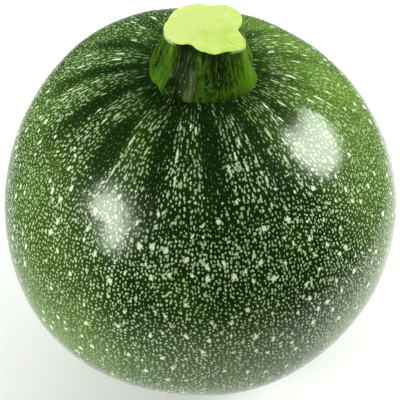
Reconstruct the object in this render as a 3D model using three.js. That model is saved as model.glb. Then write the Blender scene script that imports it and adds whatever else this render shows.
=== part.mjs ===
// A round green summer squash with its cut stem, standing on the small flat spot under it.
// Millimetres, +Z up. The origin is on the resting plane, at the middle of the squash's footprint.
import * as THREE from 'three';
import { mergeVertices } from 'three/addons/utils/BufferGeometryUtils.js';

// Fruit.
const FRUIT_DIAMETER = 95;    // girth across, before its lobes
const GIRTH_HEIGHT = 41.8;    // resting plane to the widest level
const CROWN_RISE = 47.6;      // widest level to the top under the stem
const CROWN_FULLNESS = 2.18;  // 2 is round, more has squarer shoulders
const BOTTOM_FULLNESS = 2.1;
const REST_DIAMETER = 18;     // flat spot that the fruit stands on

// Five shallow lobes run from the stem to the blossom end.
const LOBE_WIDTH = 26;        // degrees round the fruit
const LOBES = [
  { azimuth: 46, swell: -0.5 },
  { azimuth: 125, swell: 2.4 },
  { azimuth: 220, swell: 1.25 },
  { azimuth: 290, swell: 0.6 },
  { azimuth: 348, swell: 1.4 },
];

// Stem.
const STEM_HEIGHT = 9.2;      // crown to the cut face
const STEM_DIAMETER = 15.8;   // at the cut, before its ridges and grooves
const STEM_FLARE = 3.0;       // how much wider the foot's radius is
const FOOT_ROUND = 0.9;       // how far the foot tucks in where it meets the fruit
const CUT_BEVEL = 0.3;        // softened edge round the cut face
const STEM_OFFSET = [0.9, 0.4];   // middle of the stem's foot from the fruit's axis
const STEM_LEAN = [0.4, 0.2];     // how far the cut face leans past the foot
const SEAT_GAP = 0.3;         // clearance between the stem's foot and the fruit

// Ridges stand out of the stem and grooves run into it, from the cut down to the foot.
const STEM_RIDGES = [
  { azimuth: 45, swell: 1.2, width: 24 },
  { azimuth: 120, swell: 0.45, width: 28 },
  { azimuth: 183, swell: 0.4, width: 18 },
  { azimuth: 246, swell: -1.9, width: 17 },
  { azimuth: 295, swell: 0.5, width: 18 },
  { azimuth: 325, swell: 2.0, width: 15 },
  { azimuth: 356, swell: -1.1, width: 15 },
];

// Fineness of the faceted solids.
const FRUIT_RINGS = 40;
const FRUIT_SECTORS = 80;
const STEM_SECTORS = 72;
const STEM_FACE_RINGS = 4;
const STEM_SIDE_STEPS = 12;

const fruitRadius = FRUIT_DIAMETER / 2;
const restRadius = REST_DIAMETER / 2;
const stemRadius = STEM_DIAMETER / 2;

// Depth that the bottom would have without its flat spot.
const bottomDepth = GIRTH_HEIGHT
  / Math.pow(1 - Math.pow(restRadius / fruitRadius, BOTTOM_FULLNESS), 1 / BOTTOM_FULLNESS);

// How far a list of swells stands out at an angle round the axis, in radians.
function swellAt(azimuth, swells, sharedWidth) {
  let total = 0;
  for (const { azimuth: centre, swell, width = sharedWidth } of swells) {
    const turn = azimuth - THREE.MathUtils.degToRad(centre);
    const away = Math.atan2(Math.sin(turn), Math.cos(turn));
    total += swell * Math.exp(-((away / THREE.MathUtils.degToRad(width)) ** 2));
  }
  return total;
}

// Radius of the lobed fruit where its plain, round form has this radius.
function lobedRadius(radius, azimuth) {
  return radius + swellAt(azimuth, LOBES, LOBE_WIDTH) * (radius / fruitRadius) ** 2;
}

// Height of the fruit's upper surface over a point near the stem.
function crownHeight(x, y) {
  const outer = Math.hypot(x, y);
  const azimuth = Math.atan2(y, x);
  const radius = 2 * outer - lobedRadius(outer, azimuth);
  const rise = 1 - Math.pow(radius / fruitRadius, CROWN_FULLNESS);
  return GIRTH_HEIGHT + CROWN_RISE * Math.pow(rise, 1 / CROWN_FULLNESS);
}

// Turns a profile of radius and height round +Z, and moves each vertex by place(vertex).
function turned(profile, sectors, place) {
  const lathe = new THREE.LatheGeometry(profile, sectors).rotateX(Math.PI / 2);
  lathe.deleteAttribute('normal');
  lathe.deleteAttribute('uv');
  const geometry = mergeVertices(lathe);
  const position = geometry.getAttribute('position');
  const vertex = new THREE.Vector3();
  for (let i = 0; i < position.count; i++) {
    place(vertex.fromBufferAttribute(position, i));
    position.setXYZ(i, vertex.x, vertex.y, vertex.z);
  }
  geometry.computeVertexNormals();
  return geometry;
}

// The profile rises from the flat spot to the crown in equal turns of angle.
function fruitGeometry() {
  const lowest = -Math.acos(Math.pow(restRadius / fruitRadius, BOTTOM_FULLNESS / 2));
  const profile = [new THREE.Vector2(0, 0), new THREE.Vector2(restRadius, 0)];
  for (let i = 1; i < FRUIT_RINGS; i++) {
    const angle = THREE.MathUtils.lerp(lowest, Math.PI / 2, i / FRUIT_RINGS);
    const fullness = angle < 0 ? BOTTOM_FULLNESS : CROWN_FULLNESS;
    const reach = angle < 0 ? bottomDepth : CROWN_RISE;
    const level = Math.sign(angle) * reach * Math.pow(Math.abs(Math.sin(angle)), 2 / fullness);
    const radius = fruitRadius * Math.pow(Math.cos(angle), 2 / fullness);
    profile.push(new THREE.Vector2(radius, GIRTH_HEIGHT + level));
  }
  profile.push(new THREE.Vector2(0, GIRTH_HEIGHT + CROWN_RISE));
  return turned(profile, FRUIT_SECTORS, (vertex) => {
    const radius = Math.hypot(vertex.x, vertex.y);
    if (radius === 0) return;
    const grown = lobedRadius(radius, Math.atan2(vertex.y, vertex.x)) / radius;
    vertex.x *= grown;
    vertex.y *= grown;
  });
}

// The profile's height runs from 0 at the fruit to 1 at the cut. The ridged section scales its radius.
function stemGeometry() {
  const foot = stemRadius + STEM_FLARE;
  const side = new THREE.SplineCurve([
    new THREE.Vector2(foot - FOOT_ROUND, 0),
    new THREE.Vector2(foot, 0.14),
    new THREE.Vector2(stemRadius + STEM_FLARE * 0.55, 0.4),
    new THREE.Vector2(stemRadius + STEM_FLARE * 0.22, 0.7),
    new THREE.Vector2(stemRadius, 1 - CUT_BEVEL / STEM_HEIGHT),
    new THREE.Vector2(stemRadius - CUT_BEVEL, 1),
  ]).getPoints(STEM_SIDE_STEPS);
  const profile = [];
  for (let i = 0; i < STEM_FACE_RINGS; i++) {
    profile.push(new THREE.Vector2((foot - FOOT_ROUND) * i / STEM_FACE_RINGS, 0));
  }
  profile.push(...side, new THREE.Vector2(0, 1));
  const cutHeight = GIRTH_HEIGHT + CROWN_RISE + STEM_HEIGHT;
  return turned(profile, STEM_SECTORS, (vertex) => {
    const ridged = 1 + swellAt(Math.atan2(vertex.y, vertex.x), STEM_RIDGES) / stemRadius;
    vertex.x = vertex.x * ridged + STEM_OFFSET[0] + STEM_LEAN[0] * vertex.z;
    vertex.y = vertex.y * ridged + STEM_OFFSET[1] + STEM_LEAN[1] * vertex.z;
    const seat = crownHeight(vertex.x, vertex.y) + SEAT_GAP;
    vertex.z = THREE.MathUtils.lerp(seat, cutHeight, vertex.z);
  });
}

const skin = new THREE.MeshStandardMaterial({ color: 0x35591f, roughness: 0.3, metalness: 0 });
const stalk = new THREE.MeshStandardMaterial({ color: 0x2f5a1b, roughness: 0.5, metalness: 0 });

const fruit = new THREE.Mesh(fruitGeometry(), skin);
fruit.name = 'fruit';

const stem = new THREE.Mesh(stemGeometry(), stalk);
stem.name = 'stem';

// The lobes are uneven, so the pair is moved until its footprint is centred on the origin.
const squash = new THREE.Group();
squash.add(fruit, stem);
const middle = new THREE.Box3().setFromObject(fruit, true).getCenter(new THREE.Vector3());
squash.position.set(-middle.x, -middle.y, 0);

export default squash;
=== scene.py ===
"""A round green summer squash with its cut stem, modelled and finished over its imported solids.

The fruit and the stem are grown from rings, shaped by swells, and dressed in procedural finishes.
Lengths are in metres, +Z is up, and the squash stands on the floor at z = 0.
"""

import math

import bpy
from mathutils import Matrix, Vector, noise


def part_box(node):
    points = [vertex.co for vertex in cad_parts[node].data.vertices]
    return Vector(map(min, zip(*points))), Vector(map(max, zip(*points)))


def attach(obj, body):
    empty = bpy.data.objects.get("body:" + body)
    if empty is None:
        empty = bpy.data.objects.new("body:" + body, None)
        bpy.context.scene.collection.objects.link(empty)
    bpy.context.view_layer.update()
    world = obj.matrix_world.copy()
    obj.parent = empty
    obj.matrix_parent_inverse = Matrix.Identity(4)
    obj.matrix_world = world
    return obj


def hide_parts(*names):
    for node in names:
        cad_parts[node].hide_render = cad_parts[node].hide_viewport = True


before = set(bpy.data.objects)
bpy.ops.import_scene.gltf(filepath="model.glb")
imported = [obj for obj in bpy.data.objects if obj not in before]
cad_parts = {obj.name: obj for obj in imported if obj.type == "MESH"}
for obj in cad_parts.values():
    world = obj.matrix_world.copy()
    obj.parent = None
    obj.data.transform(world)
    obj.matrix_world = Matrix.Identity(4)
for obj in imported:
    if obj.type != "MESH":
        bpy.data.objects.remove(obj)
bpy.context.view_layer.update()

bl_info = {
    "name": "Round Summer Squash",
    "version": (1, 0, 0),
    "blender": (4, 5, 0),
    "location": "View3D > Sidebar > Squash",
    "description": "Models a round green summer squash, its cut stem and a plain studio stage",
    "category": "Add Mesh",
}

MM = 0.001
FRUIT_LOW, FRUIT_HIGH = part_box("fruit")
_, STEM_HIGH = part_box("stem")

# Shallow lobes down the fruit: the angle round the axis in degrees, and the swell in millimetres.
LOBES = ((46, -0.5), (125, 2.4), (220, 1.25), (290, 0.6), (348, 1.4))
LOBE_WIDTH = 26

# Rings of the blossom scar in the middle of the flat spot: radius and height, in millimetres.
BLOSSOM_SCAR = (
    (0.35, 1.15), (1.0, 1.0), (1.7, 0.62), (2.3, 0.55), (2.9, 0.72), (3.6, 0.74), (4.3, 0.5),
    (5.0, 0.22), (5.8, 0.06), (6.6, 0.01), (7.6, 0),
)
FRUIT_RINGS, FRUIT_SIDES = 84, 128

# Dark bands round the stem: how many, and the angle of one of them in degrees.
BANDS = 14
BAND_AT = 174

# Ribs on the crown between the dark bands, and the dip round the stem: swell, distance from the axis
# and width, in millimetres.
CROWN_RIBS = (0.35, 20, 9)
CROWN_DIP = (-0.3, 13, 2.5)

# Unevenness of the skin: swell and size of the waves, in millimetres. It starts above the flat spot.
WAVES = (("uneven", 0.45, 18), ("dimpled", 0.10, 4))
WAVES_START = 6

# Biggest and smallest of the skin's pale marks, and where their soft edges end and start, as shares
# of their usual size.
MARK_SIZES = (1.25, 0.55)
MARK_EDGE = (1.35, 0.65)

# Angle of the side that is yellower and carries painted light from the right window.
YELLOW_AND_LIT_SIDE = math.radians(25)

# Ridges and grooves down the stem: angle, swell at the cut and at the foot in millimetres, width.
STEM_RIDGES = (
    (1, -1.15, -0.6, 15), (45, 1.2, 0.1, 24), (80, -0.65, -0.3, 11), (120, 0.45, 0.1, 28),
    (183, 0.4, 0.1, 18), (244, -2.05, -0.3, 19), (270, -0.45, -0.1, 12), (295, 0.5, 0.3, 18),
    (325, 2.0, 1.0, 15),
)

# Knuckles round the stem's foot: angle, swell in millimetres, width in degrees. Their level above the
# crown and their height are the same for all, in millimetres.
FOOT_KNUCKLES = (
    (75, 0.3, 14), (112, 0.3, 13), (198, 0.7, 9), (231, 1.7, 12), (256, 0.8, 10), (280, 0.3, 9),
    (301, 0.6, 10), (318, 0.5, 8), (335, 0.8, 8),
)
KNUCKLE_LEVEL, KNUCKLE_HEIGHT = 0.1, 1.5

# How far the stem's strands and fibres stand out, in millimetres, and how many there are for each
# radian round it. The stem is drawn slimmer by the room that they take up.
STEM_STRANDS = (("strands", 0.45, 6), ("fibres", 0.22, 15))
STRAND_LENGTH = 8
STRAND_ROOM = 0.35

# Rings of the stem's foot: out from its radius and up from the crown, in millimetres.
STEM_FOOT = (
    (-1.6, -3.0), (-0.9, -2.2), (-0.4, -1.5), (-0.15, -0.8), (-0.2, -0.1), (-0.5, 0.6), (-0.9, 1.3),
)
STEM_RINGS, STEM_SIDES = 14, 144

# How soon the stem's flare runs out above the foot: 1 is a straight cone.
FLARE_CURVE = 1.25

# Softened edge of the cut: in from its radius and down from the cut, in millimetres.
CUT_EDGE = ((0, 0.2), (0.02, 0.06))

# Rings of the cut face: share of its radius, and rise from the ring before in millimetres. The face
# lies within the depth.
CUT_FACE = (
    (0.985, 0.07), (0.95, 0.02), (0.86, -0.05), (0.7, -0.08), (0.5, -0.03), (0.28, 0), (0.1, 0),
)
CUT_DEPTH = 0.6

# Lighter parts of the stem's rind: angle, width in degrees, and how light from 0 to 1. The lightest,
# at 329, is painted light on the ridge that faces the right window; the others are lighter strips of
# the rind.
STEM_LIGHTS = (
    (20, 10, 0.45), (62, 16, 0.6), (104, 9, 0.35), (142, 14, 0.5), (194, 20, 0.32), (222, 6, 0.25),
    (263, 8, 0.30), (305, 5, 0.2), (329, 12, 0.85),
)

# Deepest groove in the stem, which is painted darker as shade, and the dry streak and the torn fibres
# beside it, in degrees.
GROOVE_AT, DRY_AT, TORN_AT = 243, 256, 262

# Colours on the stem: the dry streak, pale hairs and dots, and the rim under the cut.
DRY_STREAK = (0.105, 0.145, 0.04)
PALE_HAIR = (0.27, 0.42, 0.13)
PALE_RIM = (0.55, 0.78, 0.30)

# Colours in the cut face: greener blotches, pale rays near the edge, and the crease.
GREENER_FLESH = (0.50, 0.72, 0.085)
PALE_RAY = (0.82, 0.93, 0.38)
CREASE = (0.36, 0.55, 0.07)

# Lights: name, shape, azimuth (0 is along +Y, 90 is +X) and elevation in degrees, distance, width and
# height in metres, radiance, and role. Gloss only shows in reflections, and fill never does.
LIGHTS = (
    ("left_window", "ELLIPSE", -124, 35, 0.6, 0.24, 0.16, 41, "gloss"),
    ("left_window_foot", "ELLIPSE", -136, 24, 0.6, 0.11, 0.18, 40, "gloss"),
    ("right_window", "ELLIPSE", 81, 34, 0.6, 0.28, 0.32, 24, "gloss"),
    ("right_window_middle", "ELLIPSE", 81, 34, 0.59, 0.15, 0.17, 9, "gloss"),
    ("left_softbox", "RECTANGLE", -122, 27, 0.6, 0.20, 0.17, 15, "fill"),
    ("right_softbox", "RECTANGLE", 76, 30, 0.6, 0.26, 0.30, 15.5, "fill"),
    ("back_panel", "RECTANGLE", 0, 35, 1.1, 1.6, 0.7, 2.6, "fill"),
    ("left_panel", "RECTANGLE", -90, 25, 1.0, 1.2, 0.7, 2.2, "fill"),
)

# The gloss shows a small white table instead of the floor. Each row is a part of the direction, where
# it starts and ends, and the glow at each. The rows are multiplied.
TABLE_GLOW = (
    ("Z", -0.58, -0.38, 1.35, 0.03), ("Z", -1.0, -0.80, 0.75, 1.0), ("X", -0.7, 0.1, 0.55, 1.0),
)

# Side of the square floor and how far behind the squash its middle is, in metres.
FLOOR_SIZE, FLOOR_MIDDLE = 6, 1.5

# The floor's painted glow, which only the camera sees: the distances where it starts and ends to grow,
# in millimetres, and how white it is at each.
FLOOR_GLOW_FADE = (30, 300, 0.14, 1)

# How far the camera aims past the middle of the fruit, in millimetres.
AIM_UP, AIM_RIGHT = 1.37, 0.41


class SquashFruit(bpy.types.PropertyGroup):
    """Sizes and colours of the fruit."""
    girth: bpy.props.FloatProperty(
        name="Girth", description="Diameter at the widest level, before the lobes",
        default=95 * MM, min=20 * MM, subtype="DISTANCE", unit="LENGTH")
    girth_height: bpy.props.FloatProperty(
        name="Girth height", description="Height of the widest level above the floor",
        default=41.8 * MM, min=10 * MM, subtype="DISTANCE", unit="LENGTH")
    crown_fullness: bpy.props.FloatProperty(
        name="Crown fullness", description="2 is round, more has squarer shoulders",
        default=2.18, min=1.5, max=4)
    bottom_fullness: bpy.props.FloatProperty(
        name="Bottom fullness", description="2 is round, more has squarer shoulders",
        default=2.1, min=1.5, max=4)
    rest_diameter: bpy.props.FloatProperty(
        name="Flat spot", description="Diameter of the flat spot that the fruit stands on",
        default=18 * MM, min=4 * MM, subtype="DISTANCE", unit="LENGTH")
    # Deep green is also the painted shade round the stem's foot.
    deep_green: bpy.props.FloatVectorProperty(
        name="Deep green", description="Skin in the dark bands under the stem",
        default=(0.005, 0.019, 0.003), size=3, min=0, max=1, subtype="COLOR")
    leaf_green: bpy.props.FloatVectorProperty(
        name="Leaf green", description="Skin between the flecks",
        default=(0.006, 0.028, 0.001), size=3, min=0, max=1, subtype="COLOR")
    grass_green: bpy.props.FloatVectorProperty(
        name="Grass green", description="Brighter skin between the flecks behind the stem",
        default=(0.022, 0.080, 0.006), size=3, min=0, max=1, subtype="COLOR")
    # Warm green is also the colour of the painted light on the skin's left, right and lower sides.
    warm_green: bpy.props.FloatVectorProperty(
        name="Warm green", description="Yellower patches of skin",
        default=(0.105, 0.220, 0.018), size=3, min=0, max=1, subtype="COLOR")
    fleck: bpy.props.FloatVectorProperty(
        name="Fleck", description="Small pale flecks",
        default=(0.60, 0.80, 0.44), size=3, min=0, max=1, subtype="COLOR")
    spot: bpy.props.FloatVectorProperty(
        name="Spot", description="Larger pale spots",
        default=(0.84, 0.97, 0.62), size=3, min=0, max=1, subtype="COLOR")
    scar: bpy.props.FloatVectorProperty(
        name="Blossom scar", description="Corky mark where the blossom fell off",
        default=(0.36, 0.25, 0.12), size=3, min=0, max=1, subtype="COLOR")


class SquashStem(bpy.types.PropertyGroup):
    """Sizes and colours of the stem."""
    diameter: bpy.props.FloatProperty(
        name="Diameter", description="Diameter at the cut, before the ridges",
        default=15.8 * MM, min=4 * MM, subtype="DISTANCE", unit="LENGTH")
    flare: bpy.props.FloatProperty(
        name="Flare", description="How much wider the radius of the foot is",
        default=3.4 * MM, min=0, subtype="DISTANCE", unit="LENGTH")
    offset: bpy.props.FloatVectorProperty(
        name="Offset", description="Middle of the stem's foot from the fruit's axis",
        default=(0.9 * MM, 0.4 * MM), size=2, subtype="TRANSLATION", unit="LENGTH")
    lean: bpy.props.FloatVectorProperty(
        name="Lean", description="How far the cut leans past the foot",
        default=(0.4 * MM, 0.2 * MM), size=2, subtype="TRANSLATION", unit="LENGTH")
    rind: bpy.props.FloatVectorProperty(
        name="Rind", description="Green of the stem's sides",
        default=(0.075, 0.190, 0.004), size=3, min=0, max=1, subtype="COLOR")
    dark_rind: bpy.props.FloatVectorProperty(
        name="Dark rind", description="Dark streaks down the stem",
        default=(0.008, 0.024, 0.001), size=3, min=0, max=1, subtype="COLOR")
    flesh: bpy.props.FloatVectorProperty(
        name="Flesh", description="Pale yellow-green of the cut face",
        default=(0.64, 0.80, 0.215), size=3, min=0, max=1, subtype="COLOR")


class SquashStage(bpy.types.PropertyGroup):
    """The floor, lights and camera."""
    camera_elevation: bpy.props.FloatProperty(
        name="Camera elevation", description="Angle of the camera above the horizon",
        default=math.radians(51.44), subtype="ANGLE", unit="ROTATION")
    camera_distance: bpy.props.FloatProperty(
        name="Camera distance", description="Distance from the camera to the middle of the fruit",
        default=0.21375, min=0.1, subtype="DISTANCE", unit="LENGTH")
    focal_length: bpy.props.FloatProperty(
        name="Focal length", description="Focal length of the lens, in millimetres",
        default=75.57, min=10)
    floor: bpy.props.FloatVectorProperty(
        name="Floor", description="Colour of the floor",
        default=(0.95, 0.95, 0.95), size=3, min=0, max=1, subtype="COLOR")


# ---------------------------------------------------------------------------------------------
# Modelling


def deselect():
    """Leaves nothing selected, in object mode."""
    if bpy.context.object and bpy.context.object.mode != "OBJECT":
        bpy.ops.object.mode_set(mode="OBJECT")
    bpy.ops.object.select_all(action="DESELECT")


def gaussian(away, width):
    return math.exp(-((away / width) ** 2))


def turn_between(azimuth, centre):
    """Smallest turn from centre to azimuth, in degrees."""
    return (azimuth - centre + 180) % 360 - 180


def azimuth_of(point):
    return math.degrees(math.atan2(point.y, point.x))


def start_piece(name, sides, radius, height):
    """Starts a piece as one open ring, and leaves it in edit mode."""
    deselect()
    bpy.ops.mesh.primitive_circle_add(vertices=sides, radius=radius, location=(0, 0, height))
    piece = bpy.context.object
    piece.name = piece.data.name = name
    bpy.ops.object.transform_apply(location=True, rotation=True, scale=True)
    bpy.ops.object.mode_set(mode="EDIT")
    bpy.ops.mesh.select_all(action="SELECT")
    return piece


def grow_rings(profile, slant=(0, 0)):
    """Extrudes the selected ring along a profile of radius and height, whose first point it is on.

    The slant is how far the rings move sideways for each metre that they rise.
    """
    slant, low = Vector(slant), profile[0][1]
    for (radius, height), (next_radius, next_height) in zip(profile, profile[1:]):
        rise = next_height - height
        bpy.ops.mesh.extrude_edges_move(
            TRANSFORM_OT_translate={"value": (*(slant * rise), rise)})
        growth = next_radius / radius
        centre = slant * (next_height - low)
        bpy.ops.transform.resize(
            value=(growth, growth, 1), center_override=(*centre, next_height))


def close_with_pole():
    """Draws the selected ring together into one point."""
    bpy.ops.mesh.merge(type="CENTER")


def select_where(piece, wanted):
    """Selects, in edit mode, only the vertices that are wanted."""
    bpy.ops.object.mode_set(mode="EDIT")
    bpy.ops.mesh.select_mode(type="VERT")
    bpy.ops.mesh.select_all(action="DESELECT")
    bpy.ops.object.mode_set(mode="OBJECT")
    for vertex in piece.data.vertices:
        vertex.select = wanted(vertex)
    bpy.ops.object.mode_set(mode="EDIT")


def select_open_edge(piece, wanted):
    """Selects, in edit mode, the open edge whose vertices' places are wanted."""
    bpy.ops.object.mode_set(mode="EDIT")
    bpy.ops.mesh.select_mode(type="VERT")
    bpy.ops.mesh.select_all(action="DESELECT")
    bpy.ops.mesh.select_non_manifold(use_wire=False, use_multi_face=False, use_verts=False)
    bpy.ops.object.mode_set(mode="OBJECT")
    edge = {vertex.index for vertex in piece.data.vertices if vertex.select and wanted(vertex.co)}
    select_where(piece, lambda vertex: vertex.index in edge)


def face_outwards():
    """Merges doubles and points every face of the piece in edit mode outwards."""
    bpy.ops.mesh.select_all(action="SELECT")
    bpy.ops.mesh.remove_doubles(threshold=0.001 * MM)
    bpy.ops.mesh.normals_make_consistent(inside=False)
    bpy.ops.object.mode_set(mode="OBJECT")


def swell(piece, name, amount, share, texture=None):
    """Moves the surface out by amount times share(place), a number from 0 to 1."""
    group = piece.vertex_groups.new(name=name)
    for vertex in piece.data.vertices:
        weight = min(share(vertex.co), 1)
        if weight > 0.002:
            group.add([vertex.index], weight, "REPLACE")
    bulge = piece.modifiers.new(name, "DISPLACE")
    bulge.vertex_group = name
    bulge.strength = amount
    bulge.mid_level = 0.5 if texture else 0
    bulge.texture = texture
    bpy.ops.object.modifier_apply(modifier=name)
    piece.vertex_groups.clear()


def soften(piece, levels):
    """Subdivides a piece into a smooth, fine mesh."""
    smooth = piece.modifiers.new("Fine", "SUBSURF")
    smooth.levels = smooth.render_levels = levels
    bpy.ops.object.modifier_apply(modifier="Fine")
    bpy.ops.object.shade_smooth()


def waves(name, size):
    """A cloudy pattern for uneven surfaces."""
    texture = bpy.data.textures.new(name, "CLOUDS")
    texture.noise_scale = size
    return texture


def fruit_axis(radius):
    """Where the fruit's axis stands, so that its uneven lobes are centred on the CAD fruit."""
    rim = []
    for degrees in range(360):
        swelling = sum(
            amount * MM * gaussian(turn_between(degrees, at), LOBE_WIDTH) for at, amount in LOBES)
        turn = math.radians(degrees)
        rim.append(Vector((math.cos(turn), math.sin(turn))) * (radius + swelling))
    xs, ys = zip(*rim)
    middle = Vector((max(xs) + min(xs), max(ys) + min(ys))) / 2
    return (FRUIT_LOW + FRUIT_HIGH).to_2d() / 2 - middle


def move_to_axis(piece, axis):
    """Moves a piece's mesh from the origin to the axis, and leaves its object at the origin."""
    piece.location = (axis.x, axis.y, 0)
    bpy.ops.object.transform_apply(location=True, rotation=True, scale=True)


def fruit_profile(sizes):
    """Radius and height from the middle of the blossom scar, by the flat spot, to the crown."""
    radius, rest = sizes.girth / 2, sizes.rest_diameter / 2
    crown_rise = FRUIT_HIGH.z - sizes.girth_height
    fullness = sizes.bottom_fullness
    bottom_depth = sizes.girth_height / (1 - (rest / radius) ** fullness) ** (1 / fullness)
    profile = [(out * MM, up * MM) for out, up in BLOSSOM_SCAR]
    lowest = -math.acos((rest / radius) ** (fullness / 2))
    for i in range(FRUIT_RINGS):
        angle = lowest + (math.pi / 2 - lowest) * i / FRUIT_RINGS
        full, reach = (fullness, bottom_depth) if angle < 0 else (sizes.crown_fullness, crown_rise)
        level = math.copysign(reach * abs(math.sin(angle)) ** (2 / full), angle)
        profile.append((radius * math.cos(angle) ** (2 / full), sizes.girth_height + level))
    return profile


def grow_fruit(sizes):
    """The fruit: rings up from the blossom scar, then lobes, ribs at the crown and uneven skin."""
    profile = fruit_profile(sizes)
    radius = sizes.girth / 2
    fruit = start_piece("squash_fruit", FRUIT_SIDES, *profile[0])
    grow_rings(profile)
    close_with_pole()
    select_open_edge(fruit, lambda place: place.z < sizes.girth_height)
    close_with_pole()
    face_outwards()

    def out(place):
        return min(place.xy.length / radius, 1)

    def on_crown(place, at, width):
        """1 at a distance from the axis, and 0 below the widest level."""
        return gaussian(place.xy.length - at * MM, width * MM) * (place.z > sizes.girth_height)

    for at, amount in LOBES:
        swell(fruit, f"lobe_{at}", amount * MM, lambda place: (
            gaussian(turn_between(azimuth_of(place), at), LOBE_WIDTH) * out(place) ** 2))
    amount, at, width = CROWN_RIBS
    swell(fruit, "ribs", amount * MM, lambda place: on_crown(place, at, width) * (
        0.5 - 0.5 * math.cos(BANDS * math.radians(azimuth_of(place) - BAND_AT))))
    amount, at, width = CROWN_DIP
    swell(fruit, "dip_round_stem", amount * MM, lambda place: on_crown(place, at, width))
    soften(fruit, 1)
    for name, amount, size in WAVES:
        swell(fruit, name, amount * MM, lambda place: min(place.z / (WAVES_START * MM), 1),
              texture=waves(name, size * MM))
    move_to_axis(fruit, fruit_axis(radius))
    return fruit


def grow_stem(sizes, axis):
    """The stem: a flared, ridged tube from inside the fruit's crown to its level cut."""
    top, crown = STEM_HIGH.z, FRUIT_HIGH.z
    cut_radius = sizes.diameter / 2 - STRAND_ROOM * MM
    foot = cut_radius + sizes.flare
    rise = top - crown
    profile = [(foot + out * MM, crown + up * MM) for out, up in STEM_FOOT]
    (first_radius, first_height), (side_in, side_down), (edge_in, edge_down) = profile[-1], *CUT_EDGE
    for i in range(1, STEM_RINGS + 1):
        left = 1 - i / STEM_RINGS
        profile.append((
            cut_radius - side_in * MM + (first_radius - cut_radius) * left ** FLARE_CURVE,
            top - side_down * MM - (top - side_down * MM - first_height) * left))
    profile.append((cut_radius - edge_in * MM, top - edge_down * MM))
    lean = Vector(sizes.lean)
    stem = start_piece("squash_stem", STEM_SIDES, *profile[0])
    grow_rings(profile, lean / (top - profile[0][1]))
    bpy.ops.object.mode_set(mode="OBJECT")

    def up(place):
        return min(max((place.z - crown) / rise, 0), 1)

    for at, at_cut, at_foot, width in STEM_RIDGES:
        swell(stem, f"ridge_{at}_cut", at_cut * MM, lambda place: (
            gaussian(turn_between(azimuth_of(place), at), width) * up(place)))
        swell(stem, f"ridge_{at}_foot", at_foot * MM, lambda place: (
            gaussian(turn_between(azimuth_of(place), at), width) * (1 - up(place))))
    for at, amount, width in FOOT_KNUCKLES:
        swell(stem, f"knuckle_{at}", amount * MM, lambda place: (
            gaussian(turn_between(azimuth_of(place), at), width)
            * gaussian(place.z - crown - KNUCKLE_LEVEL * MM, KNUCKLE_HEIGHT * MM)))
    for name, amount, per_turn in STEM_STRANDS:
        swell(stem, name, amount * MM, lambda place: strand(place, per_turn))

    select_open_edge(stem, lambda place: place.z > top - rise / 2)
    bpy.ops.transform.resize(value=(1, 1, 0), center_override=(0, 0, top))
    last = 1
    for share, lift in CUT_FACE:
        bpy.ops.mesh.extrude_edges_move(TRANSFORM_OT_translate={"value": (0, 0, lift * MM)})
        bpy.ops.transform.resize(
            value=(share / last, share / last, 1), center_override=(*lean, top))
        last = share
    close_with_pole()
    select_open_edge(stem, lambda place: place.z < crown)
    bpy.ops.mesh.extrude_edges_move(TRANSFORM_OT_translate={"value": (0, 0, 0)})
    bpy.ops.transform.resize(value=(0.5, 0.5, 1), center_override=(0, 0, profile[0][1]))
    close_with_pole()
    face_outwards()
    soften(stem, 1)
    move_to_axis(stem, axis + Vector(sizes.offset))
    return stem


def strand(place, per_turn):
    """Uneven strands down the stem, from 0 to 1."""
    turn = math.radians(azimuth_of(place))
    level = place.z / (STRAND_LENGTH * MM)
    return 0.5 + 0.5 * noise.noise((math.cos(turn) * per_turn, math.sin(turn) * per_turn, level))


# ---------------------------------------------------------------------------------------------
# Finishes


class Nodes:
    """A node tree whose nodes are laid down one after another."""

    def __init__(self, tree):
        self.tree = tree

    def feed(self, socket, value):
        """Links a socket to another's output, or sets it to a constant."""
        if isinstance(value, bpy.types.NodeSocket):
            self.tree.links.new(value, socket)
        else:
            socket.default_value = value

    def node(self, kind, inputs=(), **settings):
        made = self.tree.nodes.new("ShaderNode" + kind)
        for key, value in settings.items():
            setattr(made, key, value)
        for key, value in dict(inputs).items():
            self.feed(made.inputs[key], value)
        return made

    def maths(self, operation, *values, clamp=False):
        made = self.node("Math", enumerate(values), operation=operation, use_clamp=clamp)
        return made.outputs[0]

    def product(self, value, *others):
        for other in others:
            value = self.maths("MULTIPLY", value, other)
        return value

    def most(self, value, *others):
        for other in others:
            value = self.maths("MAXIMUM", value, other)
        return value

    def vector(self, operation, *values, output=0):
        return self.node("VectorMath", enumerate(values), operation=operation).outputs[output]

    def place(self, centre):
        """Object coordinates in millimetres from a centre."""
        where = self.node("TexCoord").outputs["Object"]
        shift = tuple(-part / MM for part in centre)
        return self.node("Mapping", {
            "Vector": where, "Location": shift, "Scale": (1 / MM,) * 3}).outputs[0]

    def parts(self, vector):
        return self.node("SeparateXYZ", {0: vector}).outputs

    def join(self, x=0.0, y=0.0, z=0.0):
        return self.node("CombineXYZ", {0: x, 1: y, 2: z}).outputs[0]

    def lots(self, *numbers):
        """Three random numbers from 0 to 1, the same each time for the same numbers."""
        drawn = self.node("TexWhiteNoise", {"Vector": self.join(*numbers)}, noise_dimensions="3D")
        return self.node("SeparateColor", {0: drawn.outputs["Color"]}).outputs

    def step(self, value, start, end, low=0.0, high=1.0):
        """Runs smoothly from low at start to high at end."""
        made = self.node("MapRange", {
            "Value": value, "From Min": start, "From Max": end, "To Min": low, "To Max": high},
            interpolation_type="SMOOTHSTEP")
        return made.outputs[0]

    def cloud(self, where, size, detail):
        return self.node("TexNoise", {
            "Vector": where, "Scale": 1 / size, "Detail": detail}).outputs["Fac"]

    def blend(self, share, below, above):
        made = self.node("Mix", {0: share, 6: below, 7: above}, data_type="RGBA")
        return made.outputs[2]

    def bump(self, height, depth):
        return self.node("Bump", {"Height": height, "Distance": depth, "Strength": 1.0}).outputs[0]


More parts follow.
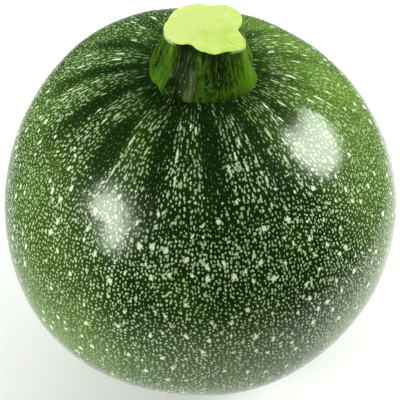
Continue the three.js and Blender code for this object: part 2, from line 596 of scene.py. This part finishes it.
class Finish(Nodes):
    """A material, whose nodes lead to its shader."""

    def __init__(self, name):
        self.material = bpy.data.materials.new(name)
        self.material.use_nodes = True
        super().__init__(self.material.node_tree)

    def surface(self, **inputs):
        """Sets or links the shader's own sockets, whose spaces are written as underscores."""
        shader = self.tree.nodes["Principled BSDF"]
        for key, value in inputs.items():
            self.feed(shader.inputs[key.replace("_", " ")], value)


def colour(values):
    return (*values, 1.0)


class Skin(Finish):
    """The fruit's skin, laid out in millimetres from its axis and its widest level."""

    def __init__(self, colours, axis):
        super().__init__("squash_skin")
        self.where = self.place((axis.x, axis.y, colours.girth_height))
        self.x, self.y, self.z = self.parts(self.where)
        self.reach = self.vector("LENGTH", self.join(self.x, self.y), output=1)
        self.turn = self.maths("ARCTAN2", self.y, self.x)
        drop = self.maths("ARCTAN2", self.reach, self.z)
        self.arc = self.maths("MULTIPLY", drop, colours.girth / 2 / MM)
        wander = self.maths("MULTIPLY_ADD", self.cloud(self.where, 6, 1), 0.05, -0.025)
        self.wandering_turn = self.maths("ADD", self.turn, wander)
        self.grit = self.cloud(self.where, 0.45, 1)
        self.bands = self.dark_bands()

    def dark_bands(self):
        """Dark bands that run out from the stem between the rows, and fade by the shoulder."""
        swing = self.maths("MULTIPLY_ADD", self.turn, BANDS, -BANDS * math.radians(BAND_AT))
        uneven = self.cloud(self.vector("MULTIPLY", self.where, (0.09, 0.09, 0.03)), 1, 1)
        uneven = self.maths("MULTIPLY_ADD", uneven, 2.2, -1.1)
        swing = self.maths("ADD", self.maths("COSINE", swing), uneven)
        # The bands are weaker behind the stem, and weaker on the right as painted light: the right
        # window's highlight washes over them there.
        return self.product(
            self.step(swing, 0.0, 1.1), self.step(self.reach, 42, 22),
            self.step(self.y, 2, 24, 1, 0.45), self.step(self.x, 6, 26, 1, 0.55))

    def marks(self, per_turn, apart, wide, long, share=1.0, fade_in=None, fade_out=None, rough=3.0,
              thin=0.4, dimmest=0.6):
        """Pale marks in columns round the axis, from 0 to 1.

        There are per_turn columns. Down each one the marks are apart millimetres from each other, and
        they reach about wide and long millimetres from their middles. Share is how many are there.
        Fades are distances from the axis. Rough is how ragged they are, thin their size in the dark
        bands, and dimmest the least strength of one.
        """
        across = self.maths("MULTIPLY", self.wandering_turn, per_turn / math.tau)
        number = self.maths("WRAP", self.maths("FLOOR", across), per_turn, 0)
        first, _, _ = self.lots(number, 0.5)
        down = self.maths("MULTIPLY_ADD", first, 9, self.maths("MULTIPLY", self.arc, 1 / apart))
        row = self.maths("FLOOR", down)
        one, two, three = self.lots(number, self.maths("ADD", row, per_turn))

        def from_middle(cells, lot, room):
            """How far it is to the mark's middle, which its lot puts within the room in its cell."""
            middle = self.maths("MULTIPLY_ADD", lot, -room, 0.5 + room / 2)
            return self.maths("SUBTRACT", self.maths("FRACT", cells), middle)

        sideways = self.product(
            from_middle(across, one, 0.68), self.reach, math.tau / per_turn / wide)
        endways = self.product(from_middle(down, two, 0.64), apart / long)
        far = self.vector("LENGTH", self.join(sideways, endways), output=1)
        biggest, smallest = MARK_SIZES
        size = self.node("MapRange", {
            "Value": three, "From Min": 0, "From Max": share, "To Min": biggest, "To Max": smallest})
        size = self.product(
            size.outputs[0], self.maths("LESS_THAN", three, share),
            *(self.step(self.reach, *fade) for fade in (fade_in, fade_out) if fade),
            self.step(self.bands, 0, 1, 1, thin))
        far = self.maths("DIVIDE", far, self.maths("MAXIMUM", size, 0.01))
        far = self.maths("ADD", far, self.maths("MULTIPLY_ADD", self.grit, rough, -rough / 2))
        glow = self.maths("FRACT", self.maths("MULTIPLY", three, 37))
        glow = self.maths("MULTIPLY_ADD", glow, 1 - dimmest, dimmest)
        return self.maths("MULTIPLY", self.step(far, *MARK_EDGE), glow)

    def lightness(self):
        """How light and yellow the green is. Random patches are yellower skin. Painted light makes the
        green lighter on the right side, which faces the right window and is yellower too, on the left
        side, which faces the left softbox, and low down, where the pale floor lights and is reflected
        in the skin. The green is also a little lighter at the back.
        """
        patch = self.cloud(self.vector("MULTIPLY_ADD", self.where, (1, 1, 0.5), (40, 0, 0)), 15, 2)
        # Painted light on the right side that faces the right window, which is also yellower there.
        side = (math.cos(YELLOW_AND_LIT_SIDE), math.sin(YELLOW_AND_LIT_SIDE), 0)
        yellow_and_lit = self.vector("DOT_PRODUCT", self.where, side, output=1)
        yellow_and_lit = self.maths("ADD", yellow_and_lit, self.maths("MULTIPLY_ADD", self.reach, -0.7, 21))
        yellow_and_lit = self.maths("MULTIPLY", self.step(yellow_and_lit, 5, 28), self.step(self.reach, 10, 28, 0, 0.9))
        by_stem = self.step(self.reach, 30, 20, 0, 0.08)
        yellow_and_lit = self.maths("MULTIPLY_ADD", self.step(self.x, 2, 14), by_stem, yellow_and_lit)
        light = self.maths("MULTIPLY_ADD", patch, 0.8, self.maths("ADD", yellow_and_lit, -0.4))
        # Painted light on the left side, which faces the left softbox.
        light = self.maths("MULTIPLY_ADD", self.step(self.x, -4, -40), 0.42, light)
        light = self.maths("MULTIPLY_ADD", self.step(self.y, 0, 26), 0.10, light)
        # Painted light low down, where the pale floor lights the skin and is reflected in it.
        return self.maths("MULTIPLY_ADD", self.step(self.z, 24, -6), 0.52, light, clamp=True)

    def green(self, colours, light):
        """The skin between the marks, brighter behind the stem and darkest in the bands and in a ring
        of painted shade round the stem's foot.
        """
        behind = self.maths("MULTIPLY_ADD", self.x, -0.3, self.y)
        green = self.blend(
            self.step(behind, -8, 16), colour(colours.leaf_green), colour(colours.grass_green))
        # Painted light turns the skin towards warm green, as do its yellow patches.
        green = self.blend(light, green, colour(colours.warm_green))
        # Painted shade: a dark ring in the dip round the stem's foot.
        bands_and_stem_shade = self.maths("MAXIMUM", self.bands, self.step(self.reach, 15, 12, 0, 0.8))
        return self.blend(self.maths("MULTIPLY", bands_and_stem_shade, 0.85), green, colour(colours.deep_green))


def skin_finish(colours, axis):
    """Waxy dark green skin, with pale flecks in rows from stem to blossom end and larger spots, and
    with painted light and shade in its green.
    """
    f = Skin(colours, axis)
    small = f.most(
        f.marks(316, 0.95, 0.20, 0.29, fade_in=(33, 36)),
        f.marks(218, 1.1, 0.19, 0.36, fade_in=(22, 24.5), fade_out=(36, 33)),
        f.marks(144, 1.35, 0.18, 0.55, fade_in=(13.5, 16), fade_out=(24.5, 22)),
        f.marks(110, 1.9, 0.14, 0.80, share=0.8, fade_in=(9, 12), fade_out=(16, 14), dimmest=0.3),
        f.marks(136, 2.1, 0.28, 0.40, share=0.32, fade_in=(20, 26), dimmest=0.8),
    )
    large = f.most(
        f.marks(64, 4.3, 0.42, 0.58, share=0.62, fade_in=(27, 33), rough=1.8, dimmest=0.9),
        f.marks(84, 4.6, 0.22, 1.1, share=0.45, fade_in=(14, 18), fade_out=(34, 28), rough=1.6,
                thin=0.2),
    )
    light = f.lightness()
    # The flecks are fainter in the bands, where the painted light lies, near the stem and at the back.
    strength = f.product(
        f.step(f.bands, 0, 1, 0.92, 0.4), f.step(light, 0.3, 1, 1, 0.6),
        f.step(f.reach, 12, 32, 0.45, 1), f.step(f.y, 6, 32, 1, 0.6))
    skin = f.blend(f.product(small, strength), f.green(colours, light), colour(colours.fleck))
    skin = f.blend(large, skin, colour(colours.spot))

    # The corky scar and its ragged edge, under the fruit.
    scar_edge = f.maths("ADD", f.reach, f.maths("MULTIPLY_ADD", f.cloud(f.where, 1.4, 2), 2.4, -1.2))
    scar = f.product(f.step(scar_edge, 5.6, 4.6), f.step(f.z, 0, -10))
    skin = f.blend(scar, skin, colour(colours.scar))

    height = f.maths("MULTIPLY_ADD", f.most(small, large), 0.12, f.cloud(f.where, 0.9, 2))
    f.surface(
        Base_Color=skin,
        Roughness=f.step(f.grit, 0.3, 0.7, 0.14, 0.22),
        IOR=1.29,
        Specular_Tint=(0.90, 1.0, 0.86, 1.0),
        Sheen_Weight=0.06,
        Sheen_Roughness=0.35,
        Sheen_Tint=(0.55, 0.85, 0.40, 1.0),
        Normal=f.bump(height, 0.035 * MM),
    )
    return f.material


def rind_finish(colours, centre):
    """Fibrous green rind of the stem, streaked from the cut to the foot, with painted shade in its
    deepest groove and painted light on the ridge that faces the right window.
    """
    f = Finish("stem_rind")
    where = f.place(centre)
    x, y, z = f.parts(where)
    around = f.vector("NORMALIZE", f.join(x, y))

    def strands(per_turn, stretch, detail):
        """Pattern of strands down the stem, each many times longer than it is wide."""
        level = f.join(z=f.maths("MULTIPLY", z, stretch))
        return f.cloud(f.vector("MULTIPLY_ADD", around, (per_turn,) * 3, level), 1.0, detail)

    def facing(azimuth, width):
        """1 at an angle round the stem, and falls away to each side of it."""
        side = (math.cos(math.radians(azimuth)), math.sin(math.radians(azimuth)), 0)
        return f.step(
            f.vector("DOT_PRODUCT", around, side, output=1), math.cos(math.radians(2 * width)), 1)

    streaks, fibres, hairs = strands(6, 0.10, 2), strands(16, 0.22, 2), strands(34, 0.5, 1)
    foot = f.step(z, -5.5, -9.5)
    # Painted shade darkens the deepest groove; the foot is lighter.
    light = f.maths("MULTIPLY_ADD", facing(GROOVE_AT, 10), -0.45, f.maths("MULTIPLY", foot, 0.3))
    # Lighter strips, among them painted light on the ridge at 329 that faces the right window.
    for azimuth, width, share in STEM_LIGHTS:
        light = f.maths("MULTIPLY_ADD", facing(azimuth, width), share, light)
    light = f.maths("MULTIPLY_ADD", streaks, 1.1, f.maths("ADD", light, -0.55))
    light = f.maths("MULTIPLY_ADD", fibres, 1.5, f.maths("ADD", light, -0.75))
    light = f.maths("ADD", f.cloud(where, 1.1, 3), f.maths("ADD", light, -0.5))
    green = f.blend(f.step(light, -0.1, 0.9), colour(colours.dark_rind), colour(colours.rind))

    # A dry, brownish streak beside the deepest groove, pale hairs, and dots on the foot.
    dry = f.product(facing(DRY_AT, 5), f.step(z, -3.5, -6.5), f.step(fibres, 0.35, 0.6))
    green = f.blend(dry, green, colour(DRY_STREAK))
    pale = f.product(f.step(hairs, 0.56, 0.70), f.step(z, -9, -1, 0.10, 0.42))
    dots = f.product(f.step(f.cloud(where, 0.55, 1), 0.66, 0.72), f.step(z, -3, -7, 0, 0.55))
    green = f.blend(f.most(pale, dots), green, colour(PALE_HAIR))

    # Under the cut the fibres are torn and dark by the groove, and leave a pale rim elsewhere.
    torn = f.maths("MULTIPLY_ADD", hairs, 2.2, z)
    torn = f.product(f.step(torn, -0.8, 0.2), facing(TORN_AT, 26))
    green = f.blend(f.product(torn, 0.8), green, colour(colours.dark_rind))
    whole = f.step(f.maths("ADD", torn, fibres), 0.8, 0.55)
    green = f.blend(f.product(f.step(z, -0.8, -0.25), whole, 0.8), green, colour(PALE_RIM))
    f.surface(
        Base_Color=green,
        Roughness=f.step(fibres, 0.3, 0.7, 0.34, 0.5),
        IOR=1.1,
        Specular_Tint=(0.9, 1.0, 0.8, 1.0),
        Normal=f.bump(f.maths("ADD", streaks, fibres), 0.30 * MM),
    )
    return f.material


def flesh_finish(colours, centre):
    """Moist, blotched flesh of the cut face, with fine rays at its edge and a crease in its middle."""
    f = Finish("stem_flesh")
    where = f.place(centre)
    x, y, _ = f.parts(where)
    flat = f.join(x, y)
    reach = f.vector("LENGTH", flat, output=1)
    around = f.vector("NORMALIZE", flat)
    blotches = f.cloud(where, 3.4, 3)
    grain = f.cloud(where, 0.5, 2)
    out = f.join(z=f.maths("MULTIPLY", reach, 0.5))
    rays = f.cloud(f.vector("MULTIPLY_ADD", around, (13,) * 3, out), 1.0, 2)
    side = f.maths("SUBTRACT", f.maths("MULTIPLY", x, 0.06), f.maths("MULTIPLY", y, 0.07))
    greener = f.maths("MULTIPLY_ADD", blotches, 2.6, f.maths("ADD", side, -1.25), clamp=True)
    flesh = f.blend(greener, colour(colours.flesh), colour(GREENER_FLESH))
    edge_rays = f.product(f.step(reach, 4.5, 8), f.step(rays, 0.48, 0.7, 0, 0.45))
    flesh = f.blend(edge_rays, flesh, colour(PALE_RAY))
    crease = f.maths("ABSOLUTE", f.maths("SUBTRACT", f.cloud(where, 2.2, 1), 0.5))
    crease = f.product(f.step(crease, 0.014, 0.004), f.step(reach, 3.2, 1.2, 0, 0.45))
    flesh = f.blend(crease, flesh, colour(CREASE))
    f.surface(
        Base_Color=flesh,
        Roughness=0.42,
        IOR=1.35,
        Subsurface_Weight=0.15,
        Subsurface_Radius=(0.6, 0.8, 0.2),
        Subsurface_Scale=1.5 * MM,
        Normal=f.bump(f.maths("ADD", rays, grain), 0.12 * MM),
    )
    return f.material


def floor_finish(stage):
    """Plain pale paper with a painted glow, seen only by the camera, that grows to white away from the
    squash.
    """
    f = Finish("floor_paper")
    where = f.place((0, 0, 0))
    grain = f.cloud(where, 1.5, 2)
    seen = f.node("LightPath").outputs["Is Camera Ray"]
    # Painted light: the floor glows to the camera only, faintly near the squash and fully white far
    # from it.
    far = f.step(f.vector("LENGTH", where, output=1), *FLOOR_GLOW_FADE)
    f.surface(
        Base_Color=colour(stage.floor),
        Roughness=0.7,
        Emission_Color=(1, 1, 1, 1),
        Emission_Strength=f.maths("MULTIPLY", far, seen),
        Normal=f.bump(grain, 0.02 * MM),
    )
    return f.material


# ---------------------------------------------------------------------------------------------
# Stage


def add_floor(stage):
    """A wide floor that the gloss doesn't show."""
    deselect()
    bpy.ops.mesh.primitive_plane_add(size=FLOOR_SIZE, location=(0, FLOOR_MIDDLE, 0))
    floor = bpy.context.object
    floor.name = floor.data.name = "floor"
    bpy.ops.object.transform_apply(location=True, rotation=True, scale=True)
    floor.data.materials.append(floor_finish(stage))
    floor.visible_glossy = False


def add_light(target, name, shape, azimuth, elevation, distance, width, height, radiance, role):
    """A flat light of even brightness that faces the target."""
    turn, tilt = math.radians(azimuth), math.radians(elevation)
    away = Vector((math.sin(turn) * math.cos(tilt), math.cos(turn) * math.cos(tilt), math.sin(tilt)))
    light = bpy.data.lights.new(name, "AREA")
    light.shape = shape
    light.size, light.size_y = width, height
    area = width * height * (math.pi / 4 if shape == "ELLIPSE" else 1)
    light.energy = radiance * math.pi * area
    lamp = bpy.data.objects.new(name, light)
    bpy.context.scene.collection.objects.link(lamp)
    lamp.location = target + away * distance
    lamp.rotation_euler = away.to_track_quat("Z", "Y").to_euler()
    lamp.visible_diffuse = role != "gloss"
    lamp.visible_glossy = role != "fill"


def add_lights(target):
    """Two windows that show in the gloss, the panels that light the squash, and the table's glow."""
    for light in LIGHTS:
        add_light(target, *light)
    world = bpy.context.scene.world or bpy.data.worlds.new("studio")
    bpy.context.scene.world = world
    world.use_nodes = True
    n = Nodes(world.node_tree)
    direction = n.parts(n.node("TexCoord").outputs["Generated"])
    glow = n.product(*(n.step(direction[part], *steps) for part, *steps in TABLE_GLOW))
    seen = n.node("LightPath").outputs["Is Camera Ray"]
    sky = n.tree.nodes["Background"]
    n.feed(sky.inputs["Color"], (1, 1, 1, 1))
    n.feed(sky.inputs["Strength"], n.most(glow, seen))


def add_camera(stage, target):
    """A camera in front that looks down on the squash, with the fruit a little below the middle."""
    tilt = stage.camera_elevation
    away = Vector((0, -math.cos(tilt), math.sin(tilt)))
    up = Vector((0, math.sin(tilt), math.cos(tilt)))
    data = bpy.data.cameras.new("camera")
    data.lens = stage.focal_length
    data.sensor_width = 36
    camera = bpy.data.objects.new("camera", data)
    bpy.context.scene.collection.objects.link(camera)
    camera.location = target + away * stage.camera_distance
    aim = target + up * (AIM_UP * MM) + Vector((AIM_RIGHT * MM, 0, 0))
    camera.rotation_euler = (camera.location - aim).to_track_quat("Z", "Y").to_euler()
    data.clip_start = 0.01
    bpy.context.scene.camera = camera


# ---------------------------------------------------------------------------------------------
# Operators, panel and registration


class SQUASH_OT_fruit(bpy.types.Operator):
    """Grow the fruit and dress it in its flecked skin"""
    bl_idname = "squash.fruit"
    bl_label = "Grow Fruit"

    def execute(self, context):
        sizes = context.scene.squash_fruit
        fruit = grow_fruit(sizes)
        fruit.data.materials.append(skin_finish(sizes, fruit_axis(sizes.girth / 2)))
        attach(fruit, "root")
        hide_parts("fruit")
        return {"FINISHED"}


class SQUASH_OT_stem(bpy.types.Operator):
    """Grow the ridged stem, with its rind and its cut face"""
    bl_idname = "squash.stem"
    bl_label = "Grow Stem"

    def execute(self, context):
        sizes = context.scene.squash_stem
        axis = fruit_axis(context.scene.squash_fruit.girth / 2)
        stem = grow_stem(sizes, axis)
        centre = (*(axis + Vector(sizes.offset)), STEM_HIGH.z)
        stem.data.materials.append(rind_finish(sizes, centre))
        stem.data.materials.append(flesh_finish(sizes, centre))
        for face in stem.data.polygons:
            on_cut = face.normal.z > 0.8 and face.center.z > STEM_HIGH.z - CUT_DEPTH * MM
            face.material_index = 1 if on_cut else 0
        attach(stem, "root")
        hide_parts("stem")
        return {"FINISHED"}


class SQUASH_OT_stage(bpy.types.Operator):
    """Lay the floor and set up the lights and the camera"""
    bl_idname = "squash.stage"
    bl_label = "Set Up Stage"

    def execute(self, context):
        stage = context.scene.squash_stage
        fruit = context.scene.squash_fruit
        target = fruit_axis(fruit.girth / 2).to_3d() + Vector((0, 0, fruit.girth_height))
        add_floor(stage)
        add_lights(target)
        add_camera(stage, target)
        context.scene.view_settings.view_transform = "Standard"
        return {"FINISHED"}


class SQUASH_PT_panel(bpy.types.Panel):
    """Lists the pieces of the squash and their sizes"""
    bl_idname = "SQUASH_PT_panel"
    bl_label = "Round Summer Squash"
    bl_space_type = "VIEW_3D"
    bl_region_type = "UI"
    bl_category = "Squash"

    def draw(self, context):
        for group, operator in (
                ("squash_fruit", "squash.fruit"),
                ("squash_stem", "squash.stem"),
                ("squash_stage", "squash.stage")):
            box = self.layout.box()
            settings = getattr(context.scene, group)
            for name in settings.bl_rna.properties.keys():
                if name not in ("rna_type", "name"):
                    box.prop(settings, name)
            box.operator(operator)


GROUPS = {"squash_fruit": SquashFruit, "squash_stem": SquashStem, "squash_stage": SquashStage}
CLASSES = (
    *GROUPS.values(), SQUASH_OT_fruit, SQUASH_OT_stem, SQUASH_OT_stage, SQUASH_PT_panel,
)


def register():
    for kind in CLASSES:
        bpy.utils.register_class(kind)
    for name, group in GROUPS.items():
        setattr(bpy.types.Scene, name, bpy.props.PointerProperty(type=group))


def unregister():
    for name in GROUPS:
        delattr(bpy.types.Scene, name)
    for kind in reversed(CLASSES):
        bpy.utils.unregister_class(kind)


def main():
    register()
    bpy.ops.squash.fruit()
    bpy.ops.squash.stem()
    bpy.ops.squash.stage()


if __name__ == "__main__":
    main()
